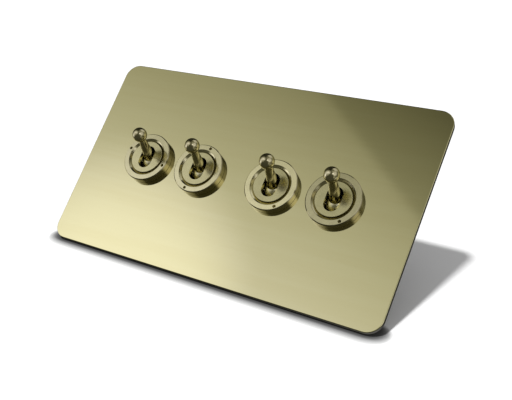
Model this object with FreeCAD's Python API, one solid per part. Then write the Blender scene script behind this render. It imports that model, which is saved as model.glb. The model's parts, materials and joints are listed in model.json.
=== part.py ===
"""Four-lever toggle wall switch on a flat double plate.

X runs to the right, Y runs into the wall and Z runs up. The origin is the centre of the wall
plane, on the rear face of the gasket. Lengths are in millimetres and angles in degrees.
"""
import FreeCAD
import Part
import math
import os

V = FreeCAD.Vector

# Front plate and gasket
plate_width = 148.0
plate_height = 86.0
plate_thick = 2.0
gasket_thick = 1.0
corner_radius = 6.0
plate_bevel = 0.3
gasket_inset = 1.5
gasket_rim = 5.0
plate_front = -(plate_thick + gasket_thick)
plate_rear = -gasket_thick

# Places of the four switch modules, in two pairs
pair_offset = 29.5
gang_pitch = 25.8
gang_places = [side * pair_offset + step * gang_pitch / 2 for side in (-1, 1) for step in (-1, 1)]

# Bezel ring
ring_radius = 10.65
ring_height = 3.0
ring_bore = 7.15
ring_face_inner = 8.35
ring_chamfer_depth = 0.9
ring_edge = 0.35
ring_foot = 0.15
spanner_hole_radius = 0.65
spanner_hole_depth = 1.4
spanner_pitch_radius = 9.45
spanner_angles = [166.0, 77.0, 121.0, 124.0]
ring_front = plate_front - ring_height

# Threaded bush
bush_radius = 7.1
bush_set_back = 0.2
bush_edge = 0.1
bush_rim = 1.2
bush_front = ring_front + bush_set_back
bush_face_thick = 1.8
bush_bore = 5.6
bush_clear_hole = 7.3
thread_pitch = 1.0
thread_depth = 0.45
slot_width = 6.3
slot_length = 9.9
flange_radius = 9.5
flange_thick = 1.5
flange_flat = 8.6

# Lever, described along its own axis from the pivot
lever_tilt = 17.0
lever_length = 16.4
ball_radius = 3.0
neck_radius = 1.35
skirt_radius = 2.5
skirt_start = 3.4
boss_radius = 4.4
boss_half_width = 2.9
tail_radius = 2.4
tail_length = 9.2
tail_bore = 1.3
tail_bore_start = 2.6
pivot_radius = 1.0
pivot_clearance = 0.03
pivot_half_length = 6.8

# Plunger and spring in the lever's tail
plunger_radius = 1.25
plunger_start = 7.2
plunger_tip = 11.0
spring_wire = 0.18
spring_radius = 0.95
spring_turns = 6
spring_gap = 0.05

# Support frame and screws
frame_width = 131.0
frame_height = 68.0
frame_thick = 2.0
frame_front = plate_rear
frame_rear = frame_front + frame_thick
frame_corner = 5.0
fixing_offset = 60.3
fixing_thread = 1.75
fixing_hole = 1.9
fixing_head = 3.3
fixing_length = 25.0
recess_share = 0.57
recess_depth_share = 0.45
recess_half = 0.35
module_screw_offset = 15.2
module_thread = 1.5
module_head = 2.8
module_hole = 1.6
module_screw_end = 7.5
head_set_back = 0.1
sink_clearance = 0.2
fixing_neck = fixing_head - frame_thick + head_set_back

# Housing and terminal base of a module
module_width = 24.0
module_height = 36.0
module_corner = 1.5
wall = 1.6
housing_front_wall = 2.0
split_plane = 14.0
base_rear = 22.5
boss_outer = 2.6
boss_depth = 7.0
boss_skin = 0.2
latch_half_width = 2.2
latch_thick = 1.0
latch_reach = 3.5
hook_height = 1.1
hook_reach = 0.9
latch_side_gap = 0.3
latch_end_gap = 0.2

# Rocker, described in its middle position
rocker_pivot = 13.0
rocker_tilt = 8.0
rocker_half_width = 2.2
rocker_sheet = 0.8
rocker_half_length = 8.4
saddle_centre = 4.6
saddle_radius = 6.5
saddle_half_length = 3.4
ear_thick = 0.6
ear_radius = 0.75
ear_root = 0.3
rocker_pin = 0.5
rocker_pin_clearance = 0.03
rocker_pin_end = 0.3
contact_offset = 6.9
contact_radius = 1.2
contact_height = 0.3
contact_dome = 2.55
fixed_contact_radius = 1.4
fixed_contact_place = 7.3
fixed_contact_front = 12.65

# Terminals
strip_front = 13.2
strip_half_width = 1.6
post_half_width = 1.35
post_front = 12.25
post_half_thick = 1.3
com_strip_low = -4.4
com_strip_high = -2.4
block_width = 6.0
block_height = 6.0
block_depth = 6.5
block_offset_x = 5.5
block_offset_z = 13.0
block_step = 0.4
wire_bore = 1.6
wire_bore_start = 14.8
clamp_screw_y = 17.6
clamp_thread = 1.25
clamp_head = 2.0
clamp_head_height = 1.3
clamp_tip_gap = 0.1
clamp_head_gap = 0.5
screw_slot = 0.5
screw_slot_depth = 0.7
wire_clearance = 0.3
driver_clearance = 0.2
clearance = 0.1

# Earth terminal
earth_size = 8.0
earth_z = -24.0
earth_bore = 2.0

# Overlap of fused pieces, overrun of cutting tools and tolerances for picking edges
joint = 0.2
overrun = 1.0
level_tolerance = 1e-4
along_axis = 0.99


def box(x_range, y_range, z_range):
    """Block between two values on each axis."""
    low = V(x_range[0], y_range[0], z_range[0])
    return Part.makeBox(x_range[1] - x_range[0], y_range[1] - y_range[0], z_range[1] - z_range[0], low)


def rod_y(radius, start, end, x=0.0, z=0.0):
    """Cylinder along Y."""
    return Part.makeCylinder(radius, end - start, V(x, start, z), V(0, 1, 0))


def rod_x(radius, half_length, y=0.0, z=0.0):
    """Cylinder along X, centred on x = 0."""
    return Part.makeCylinder(radius, 2 * half_length, V(-half_length, y, z), V(1, 0, 0))


def rod_z(radius, start, end, x, y):
    """Cylinder along Z."""
    return Part.makeCylinder(radius, end - start, V(x, y, start), V(0, 0, 1))


def cone_y(start, start_radius, end, end_radius, x=0.0, z=0.0):
    """Cone along Y."""
    return Part.makeCone(start_radius, end_radius, end - start, V(x, start, z), V(0, 1, 0))


def slab(width, height, radius, front, rear):
    """Upright sheet with rounded corners, centred on the Y axis."""
    block = box((-width / 2, width / 2), (front, rear), (-height / 2, height / 2))
    corners = [e for e in block.Edges if abs(e.tangentAt(e.FirstParameter).y) > along_axis]
    return block.makeFillet(radius, corners)


def turned(profile):
    """Solid of revolution about the Y axis from (radius, y) points."""
    points = [V(radius, y, 0) for radius, y in profile]
    face = Part.Face(Part.makePolygon(points + points[:1]))
    return face.revolve(V(0, 0, 0), V(0, 1, 0), 360)


def union(first, *others):
    """Fused solid with its split faces merged."""
    return first.fuse(list(others)).removeSplitter()


def edges_on_plane_y(shape, y):
    """Edges that lie wholly in the plane at the given y."""
    return [
        e for e in shape.Edges
        if max(abs(e.BoundBox.YMin - y), abs(e.BoundBox.YMax - y)) < level_tolerance
    ]


def lean(shape):
    """Turns a lever piece from straight out to its rest position, ball end up."""
    turned_shape = shape.copy()
    turned_shape.rotate(V(0, 0, 0), V(1, 0, 0), -lever_tilt)
    return turned_shape


def rock(shape):
    """Turns a rocker piece from its middle position to rest, lower contact closed."""
    turned_shape = shape.copy()
    turned_shape.rotate(V(0, rocker_pivot, 0), V(1, 0, 0), rocker_tilt)
    return turned_shape


def front_plate():
    """Brass sheet with a bevelled front edge and four holes for the bushes."""
    plate = slab(plate_width, plate_height, corner_radius, plate_front, plate_rear)
    plate = plate.makeFillet(plate_bevel, edges_on_plane_y(plate, plate_front))
    holes = [rod_y(bush_clear_hole, plate_front - overrun, plate_rear + overrun, x) for x in gang_places]
    return plate.cut(holes)


def plate_gasket():
    """Black rim between the plate and the wall, hidden by the plate's edge and open over the wall box."""
    outer_width = plate_width - 2 * gasket_inset
    outer_height = plate_height - 2 * gasket_inset
    rim = slab(outer_width, outer_height, corner_radius - gasket_inset, plate_rear, 0)
    inner_width = outer_width - 2 * gasket_rim
    inner_height = outer_height - 2 * gasket_rim
    window = slab(inner_width, inner_height, corner_radius, plate_rear - overrun, overrun)
    return rim.cut(window)


def support_frame():
    """Steel sheet that carries the modules and takes the fixing screws."""
    sheet = slab(frame_width, frame_height, frame_corner, frame_front, frame_rear)
    front = frame_front - overrun
    rear = frame_rear + overrun
    tools = [rod_y(bush_clear_hole, front, rear, x) for x in gang_places]
    for side in (-1, 1):
        tools += countersink(side * fixing_offset, 0, fixing_hole, fixing_head + sink_clearance)
    for x in gang_places:
        for side in (-1, 1):
            sink = module_head + sink_clearance
            tools += countersink(x, side * module_screw_offset, module_hole, sink)
    return sheet.cut(tools)


def countersink(x, z, hole, head):
    """Drill and 45 degree sink through the support frame."""
    drill = rod_y(hole, frame_front - overrun, frame_rear + overrun, x, z)
    sink = cone_y(frame_front, head, frame_front + head - hole, hole, x, z)
    return [drill, sink]


def countersunk_screw(x, z, head, neck, thread, end):
    """Cross-head screw pointing into the wall, with its head below the frame's front face."""
    front = frame_front + head_set_back
    head_end = front + head - neck
    shank_end = end - thread / 2
    screw = union(
        cone_y(front, head, head_end, neck, x, z),
        rod_y(neck, head_end - joint, frame_rear, x, z),
        rod_y(thread, frame_rear, shank_end, x, z),
        cone_y(shank_end, thread, end, thread / 2, x, z),
    )
    reach = recess_share * head
    depth = (front - overrun, front + recess_depth_share * head)
    across = box((x - reach, x + reach), depth, (z - recess_half, z + recess_half))
    upright = box((x - recess_half, x + recess_half), depth, (z - reach, z + reach))
    return screw.cut([across, upright])


def fixing_screws():
    """Two screws that hold the frame to the wall box."""
    return Part.makeCompound([
        countersunk_screw(side * fixing_offset, 0, fixing_head, fixing_neck, fixing_thread, fixing_length)
        for side in (-1, 1)
    ])


def module_screws():
    """Eight screws that hold the module housings to the frame."""
    neck = module_thread - 0.1
    return Part.makeCompound([
        countersunk_screw(x, side * module_screw_offset, module_head, neck, module_thread, module_screw_end)
        for x in gang_places
        for side in (-1, 1)
    ])


def bezel_ring(spanner_angle):
    """Ring nut with a flat face, an inner chamfer and two pin-spanner holes."""
    ring = turned([
        (ring_face_inner, ring_front),
        (ring_radius - ring_edge, ring_front),
        (ring_radius, ring_front + ring_edge),
        (ring_radius, plate_front - ring_foot),
        (ring_radius - ring_foot, plate_front),
        (ring_bore, plate_front),
        (ring_bore, ring_front + ring_chamfer_depth),
    ])
    top = ring_front - overrun
    bottom = ring_front + spanner_hole_depth
    tools = []
    for half_turn in (0, 180):
        angle = math.radians(spanner_angle + half_turn)
        x = spanner_pitch_radius * math.cos(angle)
        z = spanner_pitch_radius * math.sin(angle)
        tools.append(rod_y(spanner_hole_radius, top, bottom, x, z))
    return ring.cut(tools)


def bush():
    """Threaded bush: slotted face, hollow for the lever's boss, and a flange with two flats."""
    profile = [
        (0, bush_front),
        (bush_radius - bush_edge, bush_front),
        (bush_radius, bush_front + bush_edge),
    ]
    crest = bush_front + bush_rim
    while crest + thread_pitch < frame_rear:
        profile.append((bush_radius, crest))
        profile.append((bush_radius - thread_depth, crest + thread_pitch / 2))
        crest += thread_pitch
    profile.append((bush_radius, crest))
    profile.append((bush_radius, frame_rear))
    profile.append((0, frame_rear))
    flange_rear = frame_rear + flange_thick
    flange = rod_y(flange_radius, frame_rear, flange_rear)
    flat = (-flange_flat, flange_flat)
    flats = box(flat, (frame_rear, flange_rear), (-flange_radius, flange_radius))
    body = turned(profile).fuse(flange.common(flats))
    bore = rod_y(bush_bore, bush_front + bush_face_thick, flange_rear + overrun)
    half_width = slot_width / 2
    half_straight = slot_length / 2 - half_width
    top = bush_front - overrun
    slot_parts = [
        box((-half_width, half_width), (top, 0), (-half_straight, half_straight)),
        rod_y(half_width, top, 0, 0, half_straight),
        rod_y(half_width, top, 0, 0, -half_straight),
    ]
    cross_bore = rod_x(pivot_radius, bush_radius + overrun)
    return body.cut([bore, union(*slot_parts), cross_bore])


def lever():
    """Lever with ball end, tapered stem, boss for the pivot pin and hollow tail."""
    stem_length = lever_length - ball_radius / 2 - skirt_start
    stem = Part.makeCone(skirt_radius, neck_radius, stem_length, V(0, -skirt_start, 0), V(0, -1, 0))
    ball = Part.makeSphere(ball_radius, V(0, -lever_length, 0))
    across = (-boss_half_width, boss_half_width)
    around = (-boss_radius, boss_radius)
    boss = Part.makeSphere(boss_radius).common(box(across, around, around))
    tail = rod_y(tail_radius, 0, tail_length)
    body = union(ball, stem, boss, tail)
    body = body.cut(rod_y(tail_bore, tail_bore_start, tail_length + overrun))
    body = body.cut(rod_x(pivot_radius + pivot_clearance, boss_radius))
    return lean(body)


def pivot_pin():
    """Steel pin across the bush, inside the lever's boss."""
    return rod_x(pivot_radius, pivot_half_length)


def plunger():
    """Round-nosed plunger that slides in the lever's tail."""
    nose_centre = plunger_tip - plunger_radius
    stem = rod_y(plunger_radius, plunger_start, nose_centre)
    return lean(union(stem, Part.makeSphere(plunger_radius, V(0, nose_centre, 0))))


def spring():
    """Compression spring between the bottom of the tail's bore and the plunger."""
    margin = spring_wire + spring_gap
    length = plunger_start - tail_bore_start - 2 * margin
    helix = Part.makeHelix(length / spring_turns, length, spring_radius)
    section = Part.Wire(Part.makeCircle(spring_wire, V(spring_radius, 0, 0), V(0, 1, 0)))
    coil = Part.Wire(helix.Edges).makePipeShell([section], True, True)
    coil.rotate(V(0, 0, 0), V(1, 0, 0), -90)
    coil.translate(V(0, tail_bore_start + margin, 0))
    return lean(coil)


def rocker():
    """Contact rocker: sheet strip with a saddle for the plunger and two pivot ears."""
    arm_front = saddle_centre + math.sqrt(saddle_radius ** 2 - saddle_half_length ** 2)
    outer = saddle_radius + rocker_sheet
    arm_rear = arm_front + rocker_sheet
    outer_half = math.sqrt(outer ** 2 - (arm_rear - saddle_centre) ** 2)
    x = -rocker_half_width

    def point(y, z):
        return V(x, y, z)

    edges = [
        Part.makeLine(point(arm_front, -rocker_half_length), point(arm_front, -saddle_half_length)),
        Part.Arc(
            point(arm_front, -saddle_half_length),
            point(saddle_centre + saddle_radius, 0),
            point(arm_front, saddle_half_length),
        ).toShape(),
        Part.makeLine(point(arm_front, saddle_half_length), point(arm_front, rocker_half_length)),
        Part.makeLine(point(arm_front, rocker_half_length), point(arm_rear, rocker_half_length)),
        Part.makeLine(point(arm_rear, rocker_half_length), point(arm_rear, outer_half)),
        Part.Arc(
            point(arm_rear, outer_half), point(saddle_centre + outer, 0), point(arm_rear, -outer_half)
        ).toShape(),
        Part.makeLine(point(arm_rear, -outer_half), point(arm_rear, -rocker_half_length)),
        Part.makeLine(point(arm_rear, -rocker_half_length), point(arm_front, -rocker_half_length)),
    ]
    strip = Part.Face(Part.Wire(edges)).extrude(V(2 * rocker_half_width, 0, 0))
    ears = []
    for side in (-1, 1):
        centre = side * (rocker_half_width - ear_thick / 2)
        x_range = (centre - ear_thick / 2, centre + ear_thick / 2)
        y_range = (saddle_centre + saddle_radius + ear_root, rocker_pivot)
        ears.append(box(x_range, y_range, (-ear_radius, ear_radius)))
        ears.append(Part.makeCylinder(ear_radius, ear_thick, V(x_range[0], rocker_pivot, 0), V(1, 0, 0)))
    body = union(strip, *ears)
    body = body.cut(rod_x(rocker_pin + rocker_pin_clearance, rocker_half_width + overrun, rocker_pivot))
    return rock(body)


def moving_contacts():
    """Two domed rivets on the rear of the rocker's arms."""
    arm_rear = saddle_centre + math.sqrt(saddle_radius ** 2 - saddle_half_length ** 2) + rocker_sheet
    rivets = []
    for side in (-1, 1):
        z = side * contact_offset
        dome_height = contact_dome - math.sqrt(contact_dome ** 2 - contact_radius ** 2)
        tip = arm_rear + contact_height + dome_height
        body = rod_y(contact_radius, arm_rear, tip, 0, z)
        rivets.append(rock(body.common(Part.makeSphere(contact_dome, V(0, tip - contact_dome, z)))))
    return Part.makeCompound(rivets)


def rocker_pin_piece():
    """Pin through the rocker's ears and the common terminal's post."""
    return rod_x(rocker_pin, rocker_half_width + rocker_pin_end, rocker_pivot)


def terminal_block(x, side):
    """Clamp block with a wire bore from the rear and a tapped hole from its outer end."""
    z = side * block_offset_z
    rear = split_plane + block_depth
    block = box(
        (x - block_width / 2, x + block_width / 2),
        (split_plane - block_step, rear),
        (z - block_height / 2, z + block_height / 2),
    )
    wire = rod_y(wire_bore, wire_bore_start, rear + overrun, x, z)
    outer = side * (block_offset_z + block_height / 2 + overrun)
    tapped = rod_z(clamp_thread, min(outer, z), max(outer, z), x, clamp_screw_y)
    return block, [wire, tapped]


def way_terminal(side):
    """Strip under a fixed contact, running to a clamp block at the module's end."""
    block, tools = terminal_block(-block_offset_x, side)
    left = -block_offset_x - block_width / 2
    right = -block_offset_x + block_width / 2
    end = block_offset_z + block_height / 2
    near = fixed_contact_place - strip_half_width
    far = fixed_contact_place + strip_half_width
    across = box((left, strip_half_width), (strip_front, split_plane), sorted((side * near, side * far)))
    along = box((left, right), (strip_front, split_plane), sorted((side * near, side * end)))
    return union(block, across, along).cut(tools)


def way_terminals():
    """The two switched terminals of a module."""
    return Part.makeCompound([way_terminal(-1), way_terminal(1)])


def com_terminal():
    """Common terminal: post that holds the rocker's pin, strip and clamp block."""
    block, tools = terminal_block(block_offset_x, -1)
    left = block_offset_x - block_width / 2
    right = block_offset_x + block_width / 2
    end = -block_offset_z - block_height / 2
    post_width = (-post_half_width, post_half_width)
    sheet = (strip_front, split_plane)
    post = box(post_width, (post_front, split_plane), (-post_half_thick, post_half_thick))
    root = box(post_width, sheet, (com_strip_low, post_half_thick))
    across = box((-post_half_width, right), sheet, (com_strip_low, com_strip_high))
    along = box((left, right), sheet, (end, com_strip_high))
    body = union(block, post, root, across, along)
    return body.cut(tools + [rod_x(rocker_pin, post_half_width + overrun, rocker_pivot)])


def fixed_contacts():
    """Eight rivets on the way terminals, two per module."""
    return Part.makeCompound([
        rod_y(fixed_contact_radius, fixed_contact_front, strip_front, x, side * fixed_contact_place)
        for x in gang_places
        for side in (-1, 1)
    ])


def clamp_screw(x, side):
    """Slotted screw of one clamp block, backed off from the wire bore."""
    tip = block_offset_z + wire_bore + clamp_tip_gap
    head_low = block_offset_z + block_height / 2 + clamp_head_gap
    head_high = head_low + clamp_head_height
    shank = rod_z(clamp_thread, tip, head_low + joint, x, clamp_screw_y)
    head = rod_z(clamp_head, head_low, head_high, x, clamp_screw_y)
    slot = box(
        (x - clamp_head - overrun, x + clamp_head + overrun),
        (clamp_screw_y - screw_slot / 2, clamp_screw_y + screw_slot / 2),
        (head_high - screw_slot_depth, head_high + overrun),
    )
    screw = union(shank, head).cut(slot)
    return screw if side > 0 else screw.mirror(V(0, 0, 0), V(0, 0, 1))


def earth_screw():
    """Clamp screw of the earth terminal, driven from the rear."""
    tip = frame_rear + earth_size / 2 + earth_bore + clamp_tip_gap
    head_front = frame_rear + earth_size + clamp_head_gap
    head_rear = head_front + clamp_head_height
    shank = rod_y(clamp_thread, tip, head_front + joint, 0, earth_z)
    head = rod_y(clamp_head, head_front, head_rear, 0, earth_z)
    slot = box(
        (-clamp_head - overrun, clamp_head + overrun),
        (head_rear - screw_slot_depth, head_rear + overrun),
        (earth_z - screw_slot / 2, earth_z + screw_slot / 2),
    )
    return union(shank, head).cut(slot)


def terminal_screws():
    """Three clamp screws per module and the one of the earth terminal."""
    screws = [earth_screw()]
    for x in gang_places:
        screws.append(clamp_screw(x - block_offset_x, -1))
        screws.append(clamp_screw(x + block_offset_x, -1))
        screws.append(clamp_screw(x - block_offset_x, 1))
    return Part.makeCompound(screws)


def earth_terminal():
    """Brass block riveted to the frame, with a cross bore for the earth wire."""
    half = earth_size / 2
    block = box((-half, half), (frame_rear, frame_rear + earth_size), (earth_z - half, earth_z + half))
    wire = rod_x(earth_bore, half + overrun, frame_rear + half, earth_z)
    tapped = rod_y(clamp_thread, frame_rear + half, frame_rear + earth_size + overrun, 0, earth_z)
    return block.cut([wire, tapped])


def housing():
    """Moulded front half of a module, open to the rear."""
    shell = slab(module_width, module_height, module_corner, frame_rear, split_plane)
    floor = frame_rear + housing_front_wall
    inner_x = module_width / 2 - wall
    inner_z = module_height / 2 - wall
    front = frame_rear - overrun
    seat_floor = frame_rear + flange_thick
    cavity = box((-inner_x, inner_x), (floor, split_plane + overrun), (-inner_z, inner_z))
    seat = rod_y(flange_radius + clearance, front, seat_floor)
    keyed = box(
        (-flange_flat - clearance, flange_flat + clearance),
        (front, seat_floor),
        (-flange_radius - overrun, flange_radius + overrun),
    )
    body = shell.cut([cavity, seat.common(keyed), rod_y(bush_bore, frame_rear, floor + overrun)])
    hook_front = split_plane - latch_reach
    bosses = []
    drills = []
    windows = []
    for side in (-1, 1):
        z = side * module_screw_offset
        bosses.append(rod_y(boss_outer, floor - joint, frame_rear + boss_depth, 0, z).common(shell))
        drills.append(rod_y(module_thread, front, frame_rear + boss_depth - boss_skin, 0, z))
        windows.append(box(
            (-latch_half_width - latch_side_gap, latch_half_width + latch_side_gap),
            (hook_front - latch_end_gap, hook_front + hook_height + latch_end_gap),
            sorted((side * (inner_z - joint), side * (inner_z + wall + overrun))),
        ))
    return union(body, *bosses).cut(drills + windows)


def terminal_base():
    """Moulded rear half of a module, with wells for the clamp blocks and two latches."""
    body = slab(module_width, module_height, module_corner, split_plane, base_rear)
    half_x = block_width / 2 + clearance
    half_z = block_height / 2 + clearance
    well_floor = split_plane + block_depth + clearance
    wells = []
    for x, side in ((-block_offset_x, -1), (block_offset_x, -1), (-block_offset_x, 1)):
        z = side * block_offset_z
        depth = (split_plane - overrun, well_floor)
        wells.append(box((x - half_x, x + half_x), depth, (z - half_z, z + half_z)))
        wells.append(rod_y(wire_bore + wire_clearance, split_plane, base_rear + overrun, x, z))
        outer = side * (module_height / 2 + overrun)
        wells.append(rod_z(clamp_head + driver_clearance, min(z, outer), max(z, outer), x, clamp_screw_y))
    latches = []
    inner_z = module_height / 2 - wall - clearance
    x_range = (-latch_half_width, latch_half_width)
    hook_front = split_plane - latch_reach
    for side in (-1, 1):
        tongue_z = sorted((side * (inner_z - latch_thick), side * inner_z))
        latches.append(box(x_range, (hook_front, split_plane + joint), tongue_z))
        hook_z = sorted((side * (inner_z - joint), side * (inner_z + hook_reach)))
        latches.append(box(x_range, (hook_front, hook_front + hook_height), hook_z))
    return union(body.cut(wells), *latches)


def save(shape, name, x=0.0):
    """Writes one node, moved along the plate to its place."""
    placed = shape.copy()
    placed.translate(V(x, 0, 0))
    if not placed.isValid():
        raise ValueError(name + " is not a valid shape")
    placed.exportStep("parts/" + name + ".step")


def main():
    os.makedirs("parts", exist_ok=True)
    save(front_plate(), "front_plate")
    save(plate_gasket(), "plate_gasket")
    save(support_frame(), "support_frame")
    save(fixing_screws(), "fixing_screws")
    save(module_screws(), "module_screws")
    save(terminal_screws(), "terminal_screws")
    save(fixed_contacts(), "fixed_contacts")
    save(earth_terminal(), "earth_terminal")
    module = {
        "bush": bush(),
        "lever": lever(),
        "pivot_pin": pivot_pin(),
        "plunger": plunger(),
        "spring": spring(),
        "rocker": rocker(),
        "rocker_pin": rocker_pin_piece(),
        "moving_contacts": moving_contacts(),
        "com_terminal": com_terminal(),
        "way_terminals": way_terminals(),
        "housing": housing(),
        "terminal_base": terminal_base(),
    }
    for number, x in enumerate(gang_places, start=1):
        save(bezel_ring(spanner_angles[number - 1]), f"bezel_ring_{number}", x)
        for name, shape in module.items():
            save(shape, f"{name}_{number}", x)


main()
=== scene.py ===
import json
import math

import bpy
from mathutils import Matrix, Vector


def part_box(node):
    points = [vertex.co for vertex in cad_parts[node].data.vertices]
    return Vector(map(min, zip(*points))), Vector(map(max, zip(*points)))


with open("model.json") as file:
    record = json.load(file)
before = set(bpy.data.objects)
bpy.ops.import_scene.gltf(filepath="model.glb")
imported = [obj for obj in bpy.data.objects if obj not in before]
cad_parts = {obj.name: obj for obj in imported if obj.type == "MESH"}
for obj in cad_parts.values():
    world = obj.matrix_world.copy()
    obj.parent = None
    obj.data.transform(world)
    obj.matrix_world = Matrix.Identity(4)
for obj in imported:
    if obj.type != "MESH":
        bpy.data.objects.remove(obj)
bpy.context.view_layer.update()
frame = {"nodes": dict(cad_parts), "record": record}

MM = 0.001

CAMERA_PLACE = Vector((0.1259, -0.22195, -0.08145))
CAMERA_AZIMUTH = 27.53
CAMERA_ELEVATION = -9.867
CAMERA_ROLL = 22.22
LENS_MM = 46.75
SHIFT = (0.0613, 0.1487)

# The plate stands on its lower rear edge and leans back on its switch modules, so the floor is tilted
# under it. Close to the plate a contact shadow is painted on the floor: it darkens from its own grey to the
# shadow grey.
FLOOR_LEAN = 46.0
FLOOR_HALF = 1.5
FLOOR_GREY = 0.86
CONTACT_SHADOW_GREY = 0.08
CONTACT_SHADOW_REACH = 0.005
CONTACT_SHADOW_SHARPNESS = 9.0

# The suns: direction towards each, energy and angular size in degrees.
SUNS = {
    "sun": (Vector((-0.21, -0.845, 0.49)), 2.9, 5.0),
    "back_sun": (Vector((0.35, 0.85, 0.35)), 1.6, 12.0),
}

# The room as the brass reflects it: it brightens from the low to the high elevation. Its red and green keep
# one share of the brightness, and its blue rises from dim to bright places. Dull surfaces see an even level.
ROOM_ELEVATIONS = (-60, 60)
ROOM_LEVELS = (0.07, 0.20)
ROOM_RED = 1.015
ROOM_GREEN = 1.0
TINT_LEVELS = (0.1, 0.8)
TINT_BLUES = (0.74, 1.1)
DULL_LEVEL = 0.45

# The wide soft light before the plate: it brightens along a slope, has a small glow in it and the dark edge
# of the room above it, and fades out between two azimuths at the right and two elevations below.
FRONT_SLOPE = (-0.884, -1.227, -1.187)
FRONT_LEVEL = -0.504
FRONT_DIMMEST = 0.05
FRONT_GLOW = (-35.9, 7.0, 0, 12, 0.36)
FRONT_RIGHT_END = (-12, 2)
FRONT_LOW_END = (-22, -2)
ROOM_EDGE = (0.630, 0.136, 0.764)
ROOM_EDGE_SOFT = 0.008
ROOM_EDGE_SHADE = 0.72

# Round soft lights: azimuth, elevation, full and end angle, and brightness, negative for a dark flag.
SOFT_LIGHTS = [
    (59, 15, 8, 37, 0.58),
    (23, 27, 3, 14, 0.25),
    (32, 1, 6, 14, 1.1),
    (58, -7, 5, 20, 0.28),
    (75, -30, 4, 18, 0.28),
    (-36, -20, 5, 19, 0.4),
    (-85, 0, 10, 40, 0.35),
    (-76, -15, 6, 24, 0.9),
    (-36, 66, 7, 22, 0.5),
    (66, 70, 8, 30, 0.5),
    (-85, 55, 20, 50, -0.07),
    (172, -22, 10, 32, 0.5),
    (120, -20, 8, 28, 0.5),
]

# How bright each bezel ring is, from the left: painted light and shade, lit and shaded copies of one brass.
RING_LIGHT_SHADE_TONES = (0.88, 0.97, 1.17, 0.83)

# The plate's brushing, per metre in X, Y and Z. Its sides get painted shade by how far its surface has turned
# from the front, the Y of its
# normal: all side at the first value, no side at the second.
GRAIN_SCALE = (40.0, 900.0, 900.0)
STREAK_SCALE = (12.0, 260.0, 260.0)
SIDE_SHADE_TURN = (0.4, 0.85)

# Turning marks of the rings and bushes, per metre, and their bands of painted shade: inner and outer radius in
# millimetres, and how dark.
MARKS_SCALE = 4500.0
# Brown of the painted shade in the bands and cavities.
PAINTED_SHADE_BROWN = (0.17, 0.14, 0.065)
RING_SHADE_BANDS = [(10.35, 11.0, 0.75), (8.2, 8.42, 0.6), (7.0, 8.2, 0.25)]
BUSH_SHADE_BANDS = [(6.95, 9.0, 0.5)]
SHADE_BAND_SOFT = 0.08

# Painted shade in their cavities: how near a surface closes a place in, and how open the place has to be. All
# of it stays up to the first share and none from the second.
CAVITY_REACH = 0.0012
RING_CAVITY = (0.1, 0.6)
BUSH_CAVITY = (0.0, 0.3)

# Distances from the lever's pivot between which the painted highlight on the boss passes into the handled
# brass.
BOSS_HIGHLIGHT_EDGE = (0.004, 0.0052)


class Tree:
    """Adds nodes to one node tree. Each adder takes sockets or plain values and gives back a socket."""

    def __init__(self, tree):
        self.tree = tree

    def node(self, kind, inputs=None, **settings):
        """The new node itself, with its inputs linked or set by name or number."""
        made = self.tree.nodes.new(kind)
        for name, value in settings.items():
            setattr(made, name, value)
        for key, value in (inputs or {}).items():
            if isinstance(value, bpy.types.NodeSocket):
                self.tree.links.new(value, made.inputs[key])
            else:
                made.inputs[key].default_value = value
        return made

    def math(self, operation, *values):
        return self.node("ShaderNodeMath", dict(enumerate(values)), operation=operation).outputs[0]

    def vector(self, operation, *values, scale=None):
        inputs = dict(enumerate(values))
        if scale is not None:
            inputs["Scale"] = scale
        return self.node("ShaderNodeVectorMath", inputs, operation=operation).outputs[0]

    def dot(self, a, b):
        return self.node("ShaderNodeVectorMath", {0: a, 1: b}, operation="DOT_PRODUCT").outputs["Value"]

    def length(self, vector):
        return self.node("ShaderNodeVectorMath", {0: vector}, operation="LENGTH").outputs["Value"]

    def remap(self, value, low, high, to_low=0.0, to_high=1.0, smooth=True):
        """The value's place between low and high, held at both ends, turned into one between the other two."""
        kind = "SMOOTHSTEP" if smooth else "LINEAR"
        inputs = {"Value": value, "From Min": low, "From Max": high, "To Min": to_low, "To Max": to_high}
        return self.node("ShaderNodeMapRange", inputs, interpolation_type=kind).outputs[0]

    def mix(self, factor, a, b):
        """From colour a to colour b, which the node keeps at its inputs 6 and 7."""
        return self.node("ShaderNodeMix", {0: factor, 6: a, 7: b}, data_type="RGBA").outputs[2]

    def blend(self, factor, a, b):
        """From number a to number b, which the node keeps at its inputs 2 and 3."""
        return self.node("ShaderNodeMix", {0: factor, 2: a, 3: b}).outputs[0]

    def noise(self, vector, scale, detail, roughness):
        inputs = {"Vector": vector, "Scale": scale, "Detail": detail, "Roughness": roughness}
        return self.node("ShaderNodeTexNoise", inputs).outputs["Fac"]

    def occlusion(self, distance, samples):
        """Share of the view from a place that is free of other surfaces nearer than the distance."""
        inputs = {"Distance": distance}
        return self.node("ShaderNodeAmbientOcclusion", inputs, samples=samples).outputs["AO"]

    def bump(self, height, distance, normal=None):
        inputs = {"Height": height, "Distance": distance, "Strength": 1.0}
        if normal is not None:
            inputs["Normal"] = normal
        return self.node("ShaderNodeBump", inputs).outputs[0]


def rgba(colour):
    return (*colour, 1.0)


def grey(level):
    return (level, level, level, 1.0)


def towards(azimuth, elevation):
    a = math.radians(azimuth)
    e = math.radians(elevation)
    return Vector((math.sin(a) * math.cos(e), -math.cos(a) * math.cos(e), math.sin(e)))


# ---------------------------------------------------------------- studio


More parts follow.
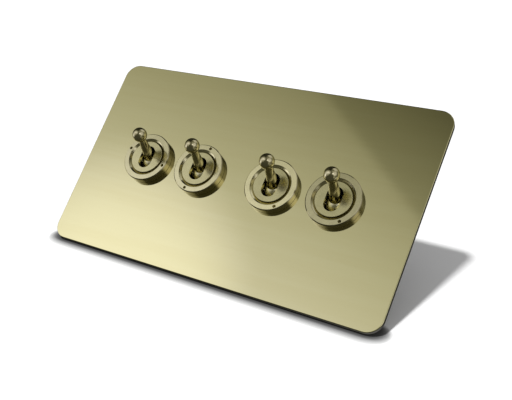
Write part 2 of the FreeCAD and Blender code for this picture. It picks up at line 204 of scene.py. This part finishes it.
def build_camera():
    camera = bpy.data.objects.new("camera", bpy.data.cameras.new("camera"))
    bpy.context.scene.collection.objects.link(camera)
    turn = Matrix.Rotation(math.radians(CAMERA_AZIMUTH), 4, "Z")
    tilt = Matrix.Rotation(math.radians(90 - CAMERA_ELEVATION), 4, "X")
    roll = Matrix.Rotation(math.radians(CAMERA_ROLL), 4, "Z")
    camera.matrix_world = Matrix.Translation(CAMERA_PLACE) @ turn @ tilt @ roll
    camera.data.lens = LENS_MM
    camera.data.shift_x, camera.data.shift_y = SHIFT
    camera.data.clip_start = 0.01
    bpy.context.scene.camera = camera


def soft_light(tree, direction, azimuth, elevation, full, end, level):
    """Brightness of a round soft light: full up to one angle from its middle, gone at the other."""
    near = tree.dot(direction, towards(azimuth, elevation))
    return tree.remap(near, math.cos(math.radians(end)), math.cos(math.radians(full)), 0.0, level)


def front_light(tree, direction, azimuth, elevation, rest):
    """Brightness of the wide soft light before the plate, and outside it the rest of the room."""
    level = tree.math("ADD", tree.dot(direction, FRONT_SLOPE), FRONT_LEVEL)
    level = tree.remap(level, FRONT_DIMMEST, 1.0, FRONT_DIMMEST, 1.0, smooth=False)
    level = tree.math("ADD", level, soft_light(tree, direction, *FRONT_GLOW))
    edge = tree.remap(tree.dot(direction, ROOM_EDGE), -ROOM_EDGE_SOFT, ROOM_EDGE_SOFT, 1.0, ROOM_EDGE_SHADE)
    level = tree.math("MULTIPLY", level, edge)
    right_end = tree.remap(azimuth, *FRONT_RIGHT_END, 1.0, 0.0)
    low_end = tree.remap(elevation, *FRONT_LOW_END)
    share = tree.math("MULTIPLY", right_end, low_end)
    return tree.blend(share, rest, level)


def build_world():
    world = bpy.data.worlds.new("studio")
    bpy.context.scene.world = world
    world.use_nodes = True
    tree = Tree(world.node_tree)
    direction = tree.node("ShaderNodeTexCoord").outputs["Generated"]
    parts = tree.node("ShaderNodeSeparateXYZ", {0: direction}).outputs
    azimuth = tree.math("ARCTAN2", parts["X"], tree.math("MULTIPLY", parts["Y"], -1.0))
    azimuth = tree.math("DEGREES", azimuth)
    elevation = tree.math("DEGREES", tree.math("ARCSINE", parts["Z"]))
    level = tree.remap(elevation, *ROOM_ELEVATIONS, *ROOM_LEVELS)
    for light in SOFT_LIGHTS:
        level = tree.math("ADD", level, soft_light(tree, direction, *light))
    level = front_light(tree, direction, azimuth, elevation, level)
    blue = tree.remap(level, *TINT_LEVELS, *TINT_BLUES, smooth=False)
    colour = tree.node("ShaderNodeCombineXYZ", {0: ROOM_RED, 1: ROOM_GREEN, 2: blue}).outputs[0]
    colour = tree.vector("SCALE", colour, scale=level)
    paths = tree.node("ShaderNodeLightPath")
    colour = tree.mix(paths.outputs["Is Diffuse Ray"], colour, grey(DULL_LEVEL))
    colour = tree.mix(paths.outputs["Is Camera Ray"], colour, grey(1.0))
    background = world.node_tree.nodes["Background"]
    world.node_tree.links.new(colour, background.inputs["Color"])


def build_sun(name, direction, energy, spread):
    sun = bpy.data.objects.new(name, bpy.data.lights.new(name, "SUN"))
    bpy.context.scene.collection.objects.link(sun)
    sun.rotation_mode = "QUATERNION"
    sun.rotation_quaternion = direction.to_track_quat("Z", "Y")
    sun.data.energy = energy
    sun.data.angle = math.radians(spread)
    sun.visible_glossy = False


def floor_material():
    """Pale floor with a painted contact shadow where the plate touches it, which can be seen through from
    below.
    """
    material = bpy.data.materials.new("floor")
    material.use_nodes = True
    tree = Tree(material.node_tree)
    shader = material.node_tree.nodes["Principled BSDF"]
    # Painted shadow: the floor's colour darkens where the plate is near.
    unshadowed_share = tree.math("POWER", tree.occlusion(CONTACT_SHADOW_REACH, 64), CONTACT_SHADOW_SHARPNESS)
    floor_with_shadow = tree.mix(unshadowed_share, grey(CONTACT_SHADOW_GREY), grey(FLOOR_GREY))
    material.node_tree.links.new(floor_with_shadow, shader.inputs["Base Color"])
    shader.inputs["Roughness"].default_value = 0.9
    shader.inputs["Specular IOR Level"].default_value = 0.0
    side = tree.node("ShaderNodeNewGeometry").outputs["Backfacing"]
    clear = tree.node("ShaderNodeBsdfTransparent").outputs[0]
    mixed = tree.node("ShaderNodeMixShader", {0: side, 1: shader.outputs[0], 2: clear})
    output = material.node_tree.nodes["Material Output"]
    material.node_tree.links.new(mixed.outputs[0], output.inputs["Surface"])
    return material


def build_floor():
    bpy.ops.mesh.primitive_plane_add(size=2 * FLOOR_HALF)
    floor = bpy.context.object
    floor.name = "floor"
    low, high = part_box("front_plate")
    floor.matrix_world = Matrix.Translation((0, high.y, low.z)) @ Matrix.Rotation(
        math.radians(FLOOR_LEAN), 4, "X"
    )
    floor.visible_glossy = False
    floor.data.materials.append(floor_material())


# ---------------------------------------------------------------- materials


def start(name):
    """A new material with its node tree helper and its Principled shader."""
    material = bpy.data.materials.new(name)
    material.use_nodes = True
    return material, Tree(material.node_tree), material.node_tree.nodes["Principled BSDF"]


def link(tree, shader, **inputs):
    """Links sockets to shader inputs, or sets them where a plain value is given."""
    for name, value in inputs.items():
        socket = shader.inputs[name.replace("_", " ")]
        if isinstance(value, bpy.types.NodeSocket):
            tree.tree.links.new(value, socket)
        else:
            socket.default_value = value


def place(tree):
    """Object coordinates, in metres."""
    return tree.node("ShaderNodeTexCoord").outputs["Object"]


def along_y(tree, vector):
    return tree.node("ShaderNodeSeparateXYZ", {0: vector}).outputs["Y"]


def stretched(tree, scale):
    """Object coordinates times one scale per axis, so that noise is drawn out along the small ones."""
    return tree.vector("MULTIPLY", place(tree), scale)


def worn_colour(tree, colour, dark, amount, scale=180.0):
    """The colour with soft patches of the darker one, at the given scale per metre."""
    patches = tree.remap(tree.noise(place(tree), scale, 4.0, 0.6), 0.35, 0.7, 0.0, amount)
    return tree.mix(patches, rgba(colour), rgba(dark))


def plate_brass():
    """Lightly brushed and lacquered sheet with fine grain along the plate, and painted shade on its sides."""
    material, tree, shader = start("plate_brass")
    grain = tree.noise(stretched(tree, GRAIN_SCALE), 1.0, 5.0, 0.65)
    streaks = tree.noise(stretched(tree, STREAK_SCALE), 1.0, 3.0, 0.55)
    haze = tree.noise(place(tree), 45.0, 4.0, 0.6)
    roughness = tree.math("MULTIPLY_ADD", grain, 0.04, 0.025)
    roughness = tree.math("MULTIPLY_ADD", haze, 0.03, roughness)
    colour = tree.mix(tree.remap(streaks, 0.3, 0.7), rgba((0.735, 0.69, 0.375)), rgba((0.75, 0.71, 0.395)))
    facing = along_y(tree, tree.node("ShaderNodeTexCoord").outputs["Normal"])
    # Painted shade: the sides turned away from the front are darkened.
    side = tree.remap(tree.math("ABSOLUTE", facing), *SIDE_SHADE_TURN, 1.0, 0.0)
    colour = tree.mix(side, colour, rgba((0.05, 0.045, 0.03)))
    roughness = tree.blend(side, roughness, 0.35)
    normal = tree.bump(grain, 1.2e-6, tree.bump(streaks, 2.0e-6))
    link(tree, shader, Base_Color=colour, Roughness=roughness, Normal=normal, Metallic=1.0)
    return material


def turned_radius(tree, node):
    """Distance from a turned part's own axis, in metres, worked out from its box."""
    low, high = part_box(node)
    size = high - low
    centred = tree.vector("SUBTRACT", tree.node("ShaderNodeTexCoord").outputs["Generated"], (0.5, 0.0, 0.5))
    scaled = tree.vector("MULTIPLY", centred, (size.x, 0.0, size.z))
    return tree.length(scaled)


def band(tree, radius, low, high, soft):
    """1 between two radii and 0 outside, with soft ends."""
    rise = tree.remap(radius, low - soft, low + soft)
    fall = tree.remap(radius, high - soft, high + soft, 1.0, 0.0)
    return tree.math("MULTIPLY", rise, fall)


def openness(tree, low, high):
    """1 on open faces, falling to 0 in grooves, holes and corners, where the brass gets painted shade and
    rougher gloss.
    """
    return tree.remap(tree.occlusion(CAVITY_REACH, 16), low, high)


def turned_brass(name, node, colour, roughness, shade_bands, cavity):
    """Turned brass: fine rings of tool marks round the axis, and painted shade in bands and in the corners."""
    material, tree, shader = start(name)
    radius = turned_radius(tree, node)
    along = tree.math("ADD", radius, along_y(tree, place(tree)))
    inputs = {"W": along, "Scale": MARKS_SCALE, "Detail": 3.0, "Roughness": 0.6}
    marks = tree.node("ShaderNodeTexNoise", inputs, noise_dimensions="1D").outputs["Fac"]
    base = worn_colour(tree, colour, [c * 0.86 for c in colour], 0.6, 420.0)
    # Painted shade: dark bands at the edges and in the groove.
    for low, high, share in shade_bands:
        inside = band(tree, radius, low * MM, high * MM, SHADE_BAND_SOFT * MM)
        base = tree.mix(tree.math("MULTIPLY", inside, share), base, rgba(PAINTED_SHADE_BROWN))
    open_share = openness(tree, *cavity)
    # Painted shade in grooves, holes and corners.
    base = tree.mix(open_share, rgba(PAINTED_SHADE_BROWN), base)
    rough = tree.math("MULTIPLY_ADD", marks, 0.12, roughness - 0.06)
    rough = tree.blend(open_share, 0.45, rough)
    normal = tree.bump(marks, 3.0e-6)
    tangent = tree.node("ShaderNodeTangent", direction_type="RADIAL", axis="Y").outputs[0]
    link(tree, shader, Base_Color=base, Roughness=rough, Normal=normal, Metallic=1.0, Tangent=tangent)
    shader.inputs["Anisotropic"].default_value = 0.5
    return material


def ring_brass(number, light_tone):
    name = f"ring_brass_{number}"
    # Painted light and shade: this ring's brass is made lighter or darker by its tone.
    colour = [light_tone * c for c in (0.84, 0.79, 0.47)]
    return turned_brass(name, f"bezel_ring_{number}", colour, 0.14, RING_SHADE_BANDS, RING_CAVITY)


def lever_brass():
    """Handled brass, duller than the plate, with cloudy tarnish; the boss in the slot gets a painted
    highlight.
    """
    material, tree, shader = start("lever_brass")
    clouds = tree.noise(place(tree), 500.0, 5.0, 0.65)
    fine = tree.noise(place(tree), 6000.0, 3.0, 0.6)
    handled = tree.mix(tree.remap(clouds, 0.3, 0.7), rgba((0.48, 0.435, 0.25)), rgba((0.62, 0.575, 0.36)))
    from_pivot = tree.length(stretched(tree, (0.0, 1.0, 1.0)))
    # Painted highlight: the boss is lightened to a bright cream.
    boss = tree.remap(from_pivot, *BOSS_HIGHLIGHT_EDGE, 1.0, 0.0)
    colour = tree.mix(boss, handled, rgba((0.95, 0.90, 0.60)))
    roughness = tree.math("MULTIPLY_ADD", clouds, 0.12, 0.08)
    roughness = tree.blend(boss, roughness, 0.32)
    normal = tree.bump(fine, 1.0e-6)
    link(tree, shader, Base_Color=colour, Roughness=roughness, Normal=normal, Metallic=1.0)
    return material


def plain_metal(name, colour, roughness, grain=2500.0):
    """Pressed, plated or drawn metal: mottled colour, uneven gloss, slight waviness."""
    material, tree, shader = start(name)
    base = worn_colour(tree, colour, [c * 0.7 for c in colour], 0.8)
    fine = tree.noise(place(tree), grain, 3.0, 0.6)
    rough = tree.math("MULTIPLY_ADD", fine, 0.2, roughness - 0.1)
    normal = tree.bump(fine, 4.0e-6)
    link(tree, shader, Base_Color=base, Roughness=rough, Normal=normal, Metallic=1.0)
    return material


def moulded(name, colour, roughness):
    """Moulded plastic or rubber with a fine spark-eroded grain."""
    material, tree, shader = start(name)
    base = worn_colour(tree, colour, [c * 0.6 for c in colour], 0.7)
    fine = tree.noise(place(tree), 3000.0, 2.0, 0.5)
    rough = tree.math("MULTIPLY_ADD", fine, 0.2, roughness - 0.1)
    link(tree, shader, Base_Color=base, Roughness=rough, Normal=tree.bump(fine, 8.0e-6))
    return material


# One copy of the ring brass for each ring, each lighter or darker: painted light and shade.
RING_MATERIALS = {f"bezel_ring_{n}": ring_brass(n, light_tone) for n, light_tone in enumerate(RING_LIGHT_SHADE_TONES, start=1)}
MATERIALS = {
    "plate_brass": plate_brass(),
    "bush_brass": turned_brass("bush_brass", "bush_1", (0.69, 0.65, 0.355), 0.2, BUSH_SHADE_BANDS, BUSH_CAVITY),
    "lever_brass": lever_brass(),
    "terminal_brass": plain_metal("terminal_brass", (0.74, 0.60, 0.32), 0.3),
    "terminal_screw": plain_metal("terminal_screw", (0.72, 0.64, 0.42), 0.3),
    "rocker_bronze": plain_metal("rocker_bronze", (0.62, 0.42, 0.27), 0.35),
    "contact_silver": plain_metal("contact_silver", (0.88, 0.87, 0.85), 0.3),
    "gasket_black": moulded("gasket_black", (0.02, 0.02, 0.02), 0.7),
    "frame_zinc": plain_metal("frame_zinc", (0.62, 0.64, 0.66), 0.4, 900.0),
    "screw_zinc": plain_metal("screw_zinc", (0.66, 0.68, 0.66), 0.3),
    "pin_steel": plain_metal("pin_steel", (0.58, 0.57, 0.55), 0.22),
    "spring_steel": plain_metal("spring_steel", (0.42, 0.43, 0.45), 0.25),
    "plunger_nylon": moulded("plunger_nylon", (0.80, 0.77, 0.66), 0.4),
    "housing_black": moulded("housing_black", (0.028, 0.027, 0.026), 0.4),
    "base_black": moulded("base_black", (0.040, 0.036, 0.033), 0.5),
}


def dress():
    """Gives each CAD piece the material of its slot, and each bezel ring its own copy, lit or shaded with
    painted light.
    """
    for part in frame["record"]["subparts"]:
        node = part["node"]
        material = RING_MATERIALS.get(node) or MATERIALS[part["material_slot"]]
        for slot in frame["nodes"][node].material_slots:
            slot.material = material


build_camera()
build_world()
for sun_name, settings in SUNS.items():
    build_sun(sun_name, *settings)
build_floor()
dress()
bpy.context.scene.view_settings.view_transform = "Standard"
